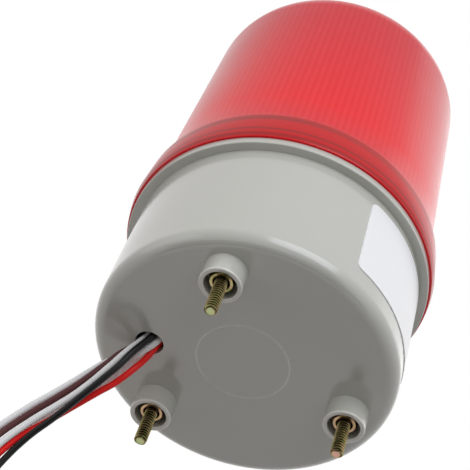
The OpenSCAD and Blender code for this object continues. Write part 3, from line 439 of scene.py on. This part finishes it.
def pvc_finish(name, colour):
    """Extruded soft PVC: slightly glossy, with faint dull patches from handling."""
    finish, tree, place = start_finish(name)
    patch = add(tree, "TexNoise", {"Vector": place, "Scale": per_mm(4), "Detail": 3})
    tone = add(tree, "Mix", {0: patch.outputs["Fac"], 6: rgba(colour), 7: rgba(colour, 0.88)},
               data_type="RGBA")
    gloss = add(tree, "MapRange", {"Value": patch.outputs["Fac"], "To Min": 0.3, "To Max": 0.46})
    end_finish(tree, {"Base Color": tone.outputs[2], "Roughness": gloss.outputs[0], "IOR": 1.33})
    return finish


def lamp_finish():
    """Bayonet bulb in one piece: clear glass over a nickel cap."""
    finish, tree, place = start_finish("Lamp_glass_and_cap")
    xyz = add(tree, "SeparateXYZ", {"Vector": place})
    cap = add(tree, "MapRange", {"Value": xyz.outputs["Z"], "From Min": (BULB_CAP_Z - 0.1) * MM,
                                 "From Max": (BULB_CAP_Z + 0.1) * MM, "To Min": 1, "To Max": 0})
    smear = add(tree, "TexNoise", {"Vector": place, "Scale": per_mm(5), "Detail": 3})
    tone = add(tree, "Mix", {0: cap.outputs[0], 6: rgba(srgb("#f2f3f0")), 7: rgba(srgb("#c9c6bd"))},
               data_type="RGBA")
    gloss = add(tree, "MapRange", {"Value": smear.outputs["Fac"], "To Min": 0.05, "To Max": 0.2})
    end_finish(tree, {"Base Color": tone.outputs[2], "Metallic": cap.outputs[0],
                      "Roughness": gloss.outputs[0], "IOR": 1.5, "Transmission Weight": 0.7})
    return finish


def white_when_seen(tree):
    """Socket that is 1 for rays that look at the studio, straight or by metal or glass, and 0 for the rays
    that carry its light to the beacon."""
    path = add(tree, "LightPath")
    seen = add(tree, "Math", {0: path.outputs["Is Camera Ray"], 1: path.outputs["Is Glossy Ray"]},
               operation="MAXIMUM")
    through = add(tree, "Math", {0: seen.outputs[0], 1: path.outputs["Is Transmission Ray"]},
                  operation="MAXIMUM")
    return through.outputs[0]


def floor_finish():
    """Painted studio floor: matt pale grey to the lamps, white to the eye."""
    finish, tree, place = start_finish("Studio_floor_pale")
    cloud = add(tree, "TexNoise", {"Vector": place, "Scale": per_mm(400), "Detail": 2})
    pale = add(tree, "Mix", {0: cloud.outputs["Fac"], 6: rgba(srgb("#9e9e9c")), 7: rgba(srgb("#9a9a98"))},
               data_type="RGBA")
    matt = add(tree, "BsdfDiffuse", {"Color": pale.outputs[2]})
    lit = add(tree, "Emission", {"Color": rgba(srgb("#ffffff")), "Strength": 1.0})
    both = add(tree, "MixShader", {0: white_when_seen(tree), 1: matt.outputs[0], 2: lit.outputs[0]})
    add(tree, "OutputMaterial", {"Surface": both.outputs[0]})
    return finish


def card_finish():
    """Dim card: a faint warm glow, as the dark of a room."""
    finish, tree, _ = start_finish("Studio_card_dim")
    dim = add(tree, "Emission", {"Color": rgba(srgb("#fffcf9")), "Strength": 0.25})
    add(tree, "OutputMaterial", {"Surface": dim.outputs[0]})
    return finish


def make_finishes(scene):
    """One finish for each of the record's material slots."""
    colours, sizes = scene.beacon_colours, scene.beacon_sizes
    return {
        "grey_abs": abs_finish(colours),
        "red_lens_plastic": lens_finish(colours, sizes),
        "yellow_zinc_steel": zinc_finish(colours),
        "white_label_film": film_finish(colours),
        "white_pvc": pvc_finish("PVC_white", colours.lead_white),
        "brown_pvc": pvc_finish("PVC_brown", colours.lead_brown),
        "black_pvc": pvc_finish("PVC_black", colours.lead_black),
        "red_pvc": pvc_finish("PVC_red", colours.lead_red),
        "lamp_glass": lamp_finish(),
        # matt black rubber with a dusty bloom
        "black_rubber": moulded_plastic("Rubber_black", srgb("#2b2b2d"), 0.75, 0.4, shade=0.7),
        # nylon: milky, a little greasy in the light
        "white_nylon": moulded_plastic("Nylon_natural", srgb("#ebe8dc"), 0.42, 0.6),
        # phenolic: dark brown with a flow mottle
        "brown_phenolic": moulded_plastic("Phenolic_brown", srgb("#4a2c1e"), 0.35, 0.5, shade=0.7),
        # lacquered glass laminate: green with the weave's shimmer
        "green_laminate": moulded_plastic("Laminate_green_lacquered", srgb("#1f6b3a"), 0.28, 0.9,
                                          shade=0.75),
        # shrink sleeve: glossy dark blue
        "blue_sleeve": moulded_plastic("Shrink_sleeve_blue", srgb("#26357a"), 0.3, 1.0),
        # epoxy moulding: black, matt from the mould
        "black_epoxy": moulded_plastic("Epoxy_black", srgb("#222224"), 0.55, 0.3),
        # zinc plate: cool grey with soft spangle
        "zinc_steel": plated_metal("Zinc_plate_bright", srgb("#c6c9cd"), srgb("#aab0b6"), 0.3, 2.5),
        # nickel plate: warm bright grey, turned
        "nickel_steel": plated_metal("Nickel_plate_turned", srgb("#cfcac0"), srgb("#b9b4aa"), 0.22, 4,
                                     (1, 1, 6)),
        # turned brass: yellow with fine rings
        "brass": plated_metal("Brass_turned", srgb("#d9b262"), srgb("#c19a4c"), 0.25, 3, (1, 1, 6)),
        # vacuum metallising: near mirror with a slight haze
        "bright_reflector": plated_metal("Metallised_mirror", srgb("#e4e5e8"), srgb("#d6d8dc"), 0.12, 20),
        # spring steel: blackened and oiled
        "spring_steel": plated_metal("Spring_steel_blackened", srgb("#4a4a4e"), srgb("#38383c"), 0.35, 2),
        # tinned copper: dull silver with rough solder skin
        "tinned_copper": plated_metal("Copper_tinned", srgb("#d3d3d0"), srgb("#b4b3ac"), 0.35, 0.8),
    }


FINISHES = {}


def finish_for(slot):
    """The finish of a material slot, made on first use."""
    if not FINISHES:
        FINISHES.update(make_finishes(bpy.context.scene))
    return FINISHES[slot]


def dress(piece, slot, body, *nodes):
    """Gives a new piece its finish, its body and the CAD nodes that it stands for."""
    piece.data.materials.clear()
    piece.data.materials.append(finish_for(slot))
    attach(piece, body)
    if nodes:
        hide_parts(*nodes)
    return piece


def arc(cx, cz, r, start, end, steps):
    """Points (x, z) of an arc in degrees about a centre."""
    return [(cx + r * math.cos(math.radians(start + (end - start) * i / steps)),
             cz + r * math.sin(math.radians(start + (end - start) * i / steps))) for i in range(steps + 1)]


def draw_chain(name, outline):
    """A chain of edges through (x, z) points in mm: a plane merged to one corner and extruded on.
    Stays in edit mode with the whole chain selected."""
    bpy.ops.object.select_all(action="DESELECT")
    bpy.ops.mesh.primitive_plane_add(size=MM)
    piece = bpy.context.object
    piece.name = piece.data.name = name
    bpy.ops.object.mode_set(mode="EDIT")
    bpy.ops.mesh.select_mode(type="VERT")
    bpy.ops.mesh.select_all(action="SELECT")
    bpy.ops.mesh.merge(type="CENTER")
    points = [Vector((x * MM, 0, z * MM)) for x, z in outline]
    bpy.ops.transform.translate(value=points[0])
    for a, b in zip(points, points[1:]):
        bpy.ops.mesh.extrude_region_move(TRANSFORM_OT_translate={"value": b - a})
    bpy.ops.mesh.select_all(action="SELECT")
    return piece


def close_mesh():
    """In edit mode: merges doubles and turns all faces outwards."""
    bpy.ops.mesh.select_all(action="SELECT")
    bpy.ops.mesh.remove_doubles(threshold=0.0005 * MM)
    bpy.ops.mesh.normals_make_consistent(inside=False)


def turn_piece(name, outline, steps):
    """A turned solid: the outline is drawn as a chain and spun about the Z axis. Stays in edit mode."""
    piece = draw_chain(name, outline)
    bpy.ops.mesh.spin(steps=steps, angle=2 * math.pi, center=(0, 0, 0), axis=(0, 0, 1))
    close_mesh()
    return piece


def select_points(piece, wanted):
    """In edit mode: selects the points that wanted(co) says yes to."""
    bpy.ops.mesh.select_mode(type="VERT")
    bpy.ops.mesh.select_all(action="DESELECT")
    mesh = bmesh.from_edit_mesh(piece.data)
    for v in mesh.verts:
        v.select = wanted(v.co)
    mesh.select_flush_mode()
    bmesh.update_edit_mesh(piece.data)


def line_number(x, y, count):
    """Which of so many even steps round the axis a point is nearest to."""
    return round(math.atan2(y, x) / (2 * math.pi) * count)


def wind_up(piece, pitch, turns, steps):
    """Winds a chain up the Z axis with a screw modifier. Starts and ends in edit mode."""
    bpy.ops.object.mode_set(mode="OBJECT")
    thread = piece.modifiers.new("Thread", "SCREW")
    thread.axis = "Z"
    thread.angle = 2 * math.pi
    thread.screw_offset = pitch
    thread.iterations = turns
    thread.steps = thread.render_steps = steps
    bpy.context.view_layer.objects.active = piece
    bpy.ops.object.modifier_apply(modifier=thread.name)
    bpy.ops.object.mode_set(mode="EDIT")


def smooth(piece, angle):
    """Back to object mode, shaded smooth up to an angle."""
    if bpy.context.mode != "OBJECT":
        bpy.ops.object.mode_set(mode="OBJECT")
    bpy.ops.object.select_all(action="DESELECT")
    piece.select_set(True)
    bpy.context.view_layer.objects.active = piece
    bpy.ops.object.shade_smooth_by_angle(angle=math.radians(angle))


def copy_to(piece, name, x, y, turn):
    """A copy of a piece with its own mesh, moved and turned about Z, with its place in its mesh."""
    bpy.ops.object.select_all(action="DESELECT")
    piece.select_set(True)
    bpy.context.view_layer.objects.active = piece
    bpy.ops.object.duplicate(linked=False)
    made = bpy.context.object
    made.name = made.data.name = name
    made.location = (x * MM, y * MM, 0)
    made.rotation_euler = (0, 0, math.radians(turn))
    bpy.ops.object.transform_apply(location=True, rotation=True, scale=True)
    return made


class BEACON_OT_stage(bpy.types.Operator):
    """Camera at the photograph's angle, soft lamps, white surroundings, a pale floor and a dim card"""
    bl_idname = "beacon.stage"
    bl_label = "Stage"

    def execute(self, context):
        context.scene.view_settings.view_transform = "Standard"
        self.add_camera(context)
        self.add_lamps(context)
        self.add_world(context)
        floor = self.add_floor(context)
        card = self.add_card(context)
        return {"FINISHED"}

    def add_camera(self, context):
        """The photograph's camera, with a long lens and a slight shift."""
        bpy.ops.object.camera_add(location=CAMERA_PLACE,
                                  rotation=Matrix((RIGHT, UP, BACK)).transposed().to_euler())
        camera = context.object
        camera.data.sensor_width = 36
        camera.data.lens = 128.78
        camera.data.clip_start = 0.01
        camera.data.shift_x = -0.0026
        context.scene.camera = camera

    def add_lamps(self, context):
        """A key softbox over the camera's right shoulder and a panel at each side; distances in metres."""
        for name, toward, far, side, watts, tint in (
            ("Key_softbox", RIGHT * 0.47 + UP * 0.68 + BACK * 0.56, 1.5, 1.2, 13.4, "#f4faff"),
            ("Left_panel", RIGHT * -0.85 + UP * 0.42 + BACK * 0.30, 1.5, 1.0, 2.0, "#ffffff"),
            ("Right_panel", RIGHT * 0.60 + UP * 0.03 - BACK * 0.79, 1.2, 1.0, 1.3, "#ffffff"),
        ):
            direction = toward.normalized()
            bpy.ops.object.light_add(type="AREA", location=LAMP_AIM + direction * far,
                                     rotation=direction.to_track_quat("Z", "Y").to_euler())
            lamp = context.object
            lamp.name = name
            lamp.data.shape = "SQUARE"
            lamp.data.size = side
            lamp.data.energy = watts
            lamp.data.color = srgb(tint)
            lamp.visible_camera = False

    def add_world(self, context):
        """White surroundings that light the beacon at half their strength, slightly warm."""
        world = bpy.data.worlds.new("White_studio")
        world.use_nodes = True
        context.scene.world = world
        tree = world.node_tree
        tree.nodes.clear()
        dim = add(tree, "Background", {"Color": rgba(srgb("#fff8f6")), "Strength": 0.5})
        bright = add(tree, "Background", {"Color": rgba(srgb("#ffffff")), "Strength": 1.0})
        both = add(tree, "MixShader", {0: white_when_seen(tree), 1: dim.outputs[0],
                                       2: bright.outputs[0]})
        add(tree, "OutputWorld", {"Surface": both.outputs[0]})

    def add_floor(self, context):
        """A wide floor, far below the beacon."""
        bpy.ops.object.select_all(action="DESELECT")
        bpy.ops.mesh.primitive_plane_add(size=9, location=(0, 0, -0.9))
        floor = context.object
        floor.name = "studio_floor"
        floor.data.materials.append(floor_finish())
        return floor

    def add_card(self, context):
        """A dim card behind the camera that is seen only in reflections."""
        toward = (RIGHT * -0.2 + UP * -0.37 + BACK * 0.90).normalized()
        across = (RIGHT - toward * RIGHT.dot(toward)).normalized()
        axes = Matrix((across, toward.cross(across), toward)).transposed()
        bpy.ops.object.select_all(action="DESELECT")
        bpy.ops.mesh.primitive_plane_add(size=1, location=LAMP_AIM + toward * 0.7, rotation=axes.to_euler())
        card = context.object
        card.name = "studio_card"
        card.scale = (1.2, 0.5, 1)
        card.visible_camera = card.visible_diffuse = card.visible_shadow = card.visible_transmission = False
        card.data.materials.append(card_finish())
        return card


class BEACON_OT_leads(bpy.types.Operator):
    """Six PVC leads out of the outlet, hanging down to twisted tinned ends"""
    bl_idname = "beacon.leads"
    bl_label = "Leads"

    def execute(self, context):
        sizes = context.scene.beacon_sizes
        for name, (slot, route) in LEADS.items():
            points = [(Vector(OUTLET) + Vector(p)) * MM for p in route]
            line = bpy.data.curves.new(name + "_run", "CURVE")
            line.dimensions = "3D"
            line.bevel_depth = sizes.lead_diameter / 2
            line.bevel_resolution = 5
            line.resolution_u = line.render_resolution_u = 14
            line.use_fill_caps = True
            spline = line.splines.new("BEZIER")
            spline.bezier_points.add(len(points) - 1)
            for knot, co in zip(spline.bezier_points, points):
                knot.co = co
                knot.handle_left_type = knot.handle_right_type = "AUTO"
            lead = bpy.data.objects.new(name + "_run", line)
            context.scene.collection.objects.link(lead)
            dress(lead, slot, "housing", name)
            tip = self.tinned_tip(sizes, name + "_tip", points[-1])
        return {"FINISHED"}

    def tinned_tip(self, sizes, name, top):
        """Seven twisted strands: a lobed ring pulled down in turning steps and closed at the end."""
        strands, steps, twist = 7, 12, math.radians(22)
        groove, taper = 0.8, 0.7
        sunk = 0.3 * MM
        corners = 3 * strands
        bpy.ops.object.select_all(action="DESELECT")
        bpy.ops.mesh.primitive_circle_add(vertices=corners, radius=sizes.strand_radius,
                                          location=top + Vector((0, 0, sunk)))
        tip = bpy.context.object
        tip.name = tip.data.name = name
        bpy.ops.object.transform_apply(location=True, rotation=True, scale=True)
        bpy.ops.object.mode_set(mode="EDIT")
        centre = (top.x, top.y, 0)
        select_points(tip, lambda co: line_number(co.x - top.x, co.y - top.y, corners) % 3 == 0)
        bpy.ops.transform.resize(value=(groove, groove, 1), center_override=centre)
        bpy.ops.mesh.select_all(action="SELECT")
        bpy.ops.mesh.edge_face_add()
        for _ in range(steps):
            bpy.ops.mesh.extrude_region_move(TRANSFORM_OT_translate={
                "value": (0, 0, -(sizes.strand_length + sunk) / steps)})
            bpy.ops.transform.rotate(value=twist, orient_axis="Z", center_override=centre)
        bpy.ops.transform.resize(value=(taper, taper, 1), center_override=centre)
        close_mesh()
        smooth(tip, 50)
        return dress(tip, "tinned_copper", "housing", "lead_ends")


class BEACON_OT_lens(bpy.types.Operator):
    """Moulded red lens: plain collar, drafted dome with flutes inside, rounded crown"""
    bl_idname = "beacon.lens"
    bl_label = "Lens"

    def execute(self, context):
        sizes = context.scene.beacon_sizes
        # radii and heights in mm, with the draft in degrees
        bore_r, foot_r, foot_round = 48.6, 50.5, 0.25
        widest_r, widest_z = 51.2, 58.4
        collar_top_r, collar_round, collar_root = 50.2, 1.6, 0.4
        dome_r, draft, shoulder_r, crown_r = 47.6, 2.67, 14.5, 260.0
        courses = (85, 105, 125, 140)
        wall = 2.0
        slope = math.tan(math.radians(draft))
        shoulder_x = dome_r - (SHOULDER_Z - COLLAR_TOP_Z) * slope
        shoulder_x -= shoulder_r / math.cos(math.radians(draft))
        crown_z = SHOULDER_Z - math.sqrt((crown_r - shoulder_r) ** 2 - shoulder_x ** 2)
        bend = math.degrees(math.atan2(SHOULDER_Z - crown_z, shoulder_x))
        inset = wall + sizes.flute_depth / MM
        inner_r = dome_r + (COLLAR_TOP_Z - BORE_TOP_Z) * slope - wall
        inner_courses = (SHOULDER_Z - 1, *reversed(courses), COLLAR_TOP_Z + 0.5, BORE_TOP_Z)
        # outside, from the collar's foot to the crown
        outline = [(bore_r, LENS_FOOT_Z), (foot_r, LENS_FOOT_Z)]
        outline += arc(foot_r, LENS_FOOT_Z + foot_round, foot_round, -90, -9, 4)[1:]
        outline += [(widest_r, widest_z)]
        outline += arc(collar_top_r - collar_round, COLLAR_TOP_Z - collar_round, collar_round, 0, 90, 8)
        outline += arc(dome_r + collar_root, COLLAR_TOP_Z + collar_root, collar_root, 270, 180 + draft, 4)
        outline += [(dome_r - (z - COLLAR_TOP_Z) * slope, z) for z in courses]
        outline += arc(shoulder_x, SHOULDER_Z, shoulder_r, draft, bend, 24)
        outline += arc(0, crown_z, crown_r, bend, 90, 8)[1:]
        outline[-1] = (0, outline[-1][1])
        # inside, from the crown back to the collar's foot
        outline += [(0, outline[-1][1] - inset)]
        outline += arc(0, crown_z, crown_r - inset, 90, bend, 8)[1:]
        outline += arc(shoulder_x, SHOULDER_Z, shoulder_r - inset, bend, draft, 16)[1:]
        outline += [(inner_r - (z - BORE_TOP_Z) * slope, z) for z in inner_courses]
        outline += [(bore_r, BORE_TOP_Z), (bore_r, 60), (bore_r, LENS_FOOT_Z)]
        steps = 4 * sizes.flutes
        lens = turn_piece("lens_moulding", outline, steps)
        # flutes: every fourth line of the inner wall stands in by the full depth, its neighbours by 0.6
        flute_low, flute_high, flute_r = BORE_TOP_Z - 0.8, SHOULDER_Z - 0.5, 44
        mid_r = dome_r - wall / 2
        for phase, share in ((1, 0.6), (2, 1.0), (3, 0.6)):
            select_points(lens, lambda co: flute_low * MM < co.z < flute_high * MM
                          and math.hypot(co.x, co.y) / MM < mid_r - (co.z / MM - COLLAR_TOP_Z) * slope
                          and line_number(co.x, co.y, steps) % 4 == phase)
            shrink = 1 - share * sizes.flute_depth / (flute_r * MM)
            bpy.ops.transform.resize(value=(shrink, shrink, 1), center_override=(0, 0, 0))
        bpy.ops.mesh.select_all(action="SELECT")
        bpy.ops.mesh.normals_make_consistent(inside=False)
        smooth(lens, 30)
        dress(lens, "red_lens_plastic", "housing", "lens")
        return {"FINISHED"}


class BEACON_OT_neck_thread(bpy.types.Operator):
    """Coarse moulded thread round the neck of the base, behind the lens collar"""
    bl_idname = "beacon.neck_thread"
    bl_label = "Neck thread"

    def execute(self, context):
        sizes = context.scene.beacon_sizes
        sunk_r, crest_r = NECK_R - 0.1, NECK_R + sizes.neck_ridge / MM
        foot, top, flank = 58.6, 59.9, 0.4
        ridge = draw_chain("neck_thread", [(sunk_r, foot), (crest_r, foot + flank), (crest_r, top - flank),
                                           (sunk_r, top), (sunk_r, foot)])
        bpy.ops.mesh.remove_doubles(threshold=0.001 * MM)
        wind_up(ridge, sizes.neck_pitch, 2, 120)
        bpy.ops.mesh.select_mode(type="EDGE")
        bpy.ops.mesh.select_all(action="DESELECT")
        bpy.ops.mesh.select_non_manifold()
        bpy.ops.mesh.fill_holes(sides=8)
        close_mesh()
        smooth(ridge, 30)
        dress(ridge, "grey_abs", "housing")
        return {"FINISHED"}


class BEACON_OT_studs(bpy.types.Operator):
    """Three threaded bolts with chamfered tips and hexagon heads"""
    bl_idname = "beacon.studs"
    bl_label = "Mounting studs"

    def execute(self, context):
        sizes = context.scene.beacon_sizes
        rod_top = HEAD_Z + 0.2
        pitch, major, minor = sizes.stud_pitch / MM, sizes.stud_major / MM, sizes.stud_minor / MM
        # the thread starts past the tip and ends past the head, and is then cut to length
        start = STUD_TIP_Z - 2 * pitch
        turns = math.ceil((rod_top - STUD_TIP_Z) / pitch) + 4
        rod = draw_chain("mounting_stud", [
            (minor, start), (minor, start + 0.25 * pitch), (major, start + 0.5 * pitch),
            (major, start + 0.75 * pitch), (minor, start + pitch)])
        wind_up(rod, sizes.stud_pitch, turns, 28)
        bpy.ops.mesh.select_all(action="SELECT")
        bpy.ops.mesh.remove_doubles(threshold=0.002 * MM)
        for z, way in ((STUD_TIP_Z, -1), (rod_top, 1)):
            bpy.ops.mesh.select_all(action="SELECT")
            bpy.ops.mesh.bisect(plane_co=(0, 0, z * MM), plane_no=(0, 0, way), use_fill=True,
                                clear_outer=True, threshold=1e-7)
        # chamfer: the tip is drawn in slice by slice
        slices = 4
        shrink = (1 - sizes.stud_chamfer / sizes.stud_major) ** (1 / slices)
        for i in range(slices):
            edge = STUD_TIP_Z * MM + sizes.stud_chamfer * (1 - i / slices)
            select_points(rod, lambda co: co.z < edge)
            bpy.ops.transform.resize(value=(shrink, shrink, 1), center_override=(0, 0, 0))
        select_points(rod, lambda co: co.z < (STUD_TIP_Z + 0.001) * MM)
        bpy.ops.mesh.poke(offset=0.2 * MM)
        bpy.ops.mesh.select_all(action="SELECT")
        bpy.ops.mesh.normals_make_consistent(inside=False)
        bpy.ops.object.mode_set(mode="OBJECT")
        # where a point lies on the thread: 0 on the crest, 1 at the root, below -1 on the tip
        tip_end = STUD_TIP_Z * MM + 0.7 * sizes.stud_chamfer
        place = rod.data.attributes.new("thread_place", "FLOAT", "POINT")
        for v in rod.data.vertices:
            away = math.hypot(v.co.x, v.co.y) / sizes.stud_major
            deep = (1 - away) / (1 - minor / major)
            place.data[v.index].value = away - 2 if v.co.z < tip_end else deep
        bpy.ops.object.select_all(action="DESELECT")
        bpy.ops.mesh.primitive_cylinder_add(vertices=6, radius=HEAD_FLATS / math.sqrt(3) * MM,
                                            depth=HEAD_TALL * MM,
                                            location=(0, 0, (HEAD_Z + HEAD_TALL / 2) * MM))
        head = context.object
        bpy.ops.object.mode_set(mode="EDIT")
        bpy.ops.mesh.select_all(action="SELECT")
        bpy.ops.mesh.bevel(offset=0.25 * MM, segments=2)
        bpy.ops.object.mode_set(mode="OBJECT")
        rod.select_set(True)
        head.select_set(True)
        context.view_layer.objects.active = rod
        bpy.ops.object.join()
        smooth(rod, 28)
        for i, (angle, x, y) in enumerate(stud_places()):
            dress(copy_to(rod, f"mounting_stud_{i + 1}", x, y, angle), "yellow_zinc_steel", "housing",
                  "mounting_studs")
        bpy.data.objects.remove(rod)
        return {"FINISHED"}


class BEACON_OT_finishes(bpy.types.Operator):
    """Gives every CAD node the finish of its material slot"""
    bl_idname = "beacon.finishes"
    bl_label = "Finishes"

    def execute(self, context):
        for part in frame["record"]["subparts"]:
            mesh = frame["nodes"][part["node"]].data
            mesh.materials.clear()
            mesh.materials.append(finish_for(part["material_slot"]))
        return {"FINISHED"}


class BEACON_PT_panel(bpy.types.Panel):
    """Steps and sizes of the beacon"""
    bl_label = "Warning Beacon"
    bl_idname = "BEACON_PT_panel"
    bl_space_type = "VIEW_3D"
    bl_region_type = "UI"
    bl_category = "Beacon"

    def draw(self, context):
        layout = self.layout
        for step in STEPS:
            layout.operator(step.bl_idname)
        for group in (context.scene.beacon_sizes, context.scene.beacon_colours):
            box = layout.box()
            for key in group.__annotations__:
                box.prop(group, key)


STEPS = (BEACON_OT_stage, BEACON_OT_leads, BEACON_OT_finishes, BEACON_OT_lens, BEACON_OT_neck_thread,
         BEACON_OT_studs)
CLASSES = (BeaconSizes, BeaconColours, *STEPS, BEACON_PT_panel)


def register():
    for cls in CLASSES:
        bpy.utils.register_class(cls)
    bpy.types.Scene.beacon_sizes = PointerProperty(type=BeaconSizes)
    bpy.types.Scene.beacon_colours = PointerProperty(type=BeaconColours)


def unregister():
    del bpy.types.Scene.beacon_colours
    del bpy.types.Scene.beacon_sizes
    for cls in reversed(CLASSES):
        bpy.utils.unregister_class(cls)


def main():
    register()
    bpy.ops.beacon.stage()
    bpy.ops.beacon.leads()
    bpy.ops.beacon.finishes()
    bpy.ops.beacon.lens()
    bpy.ops.beacon.neck_thread()
    bpy.ops.beacon.studs()


if __name__ == "__main__":
    main()
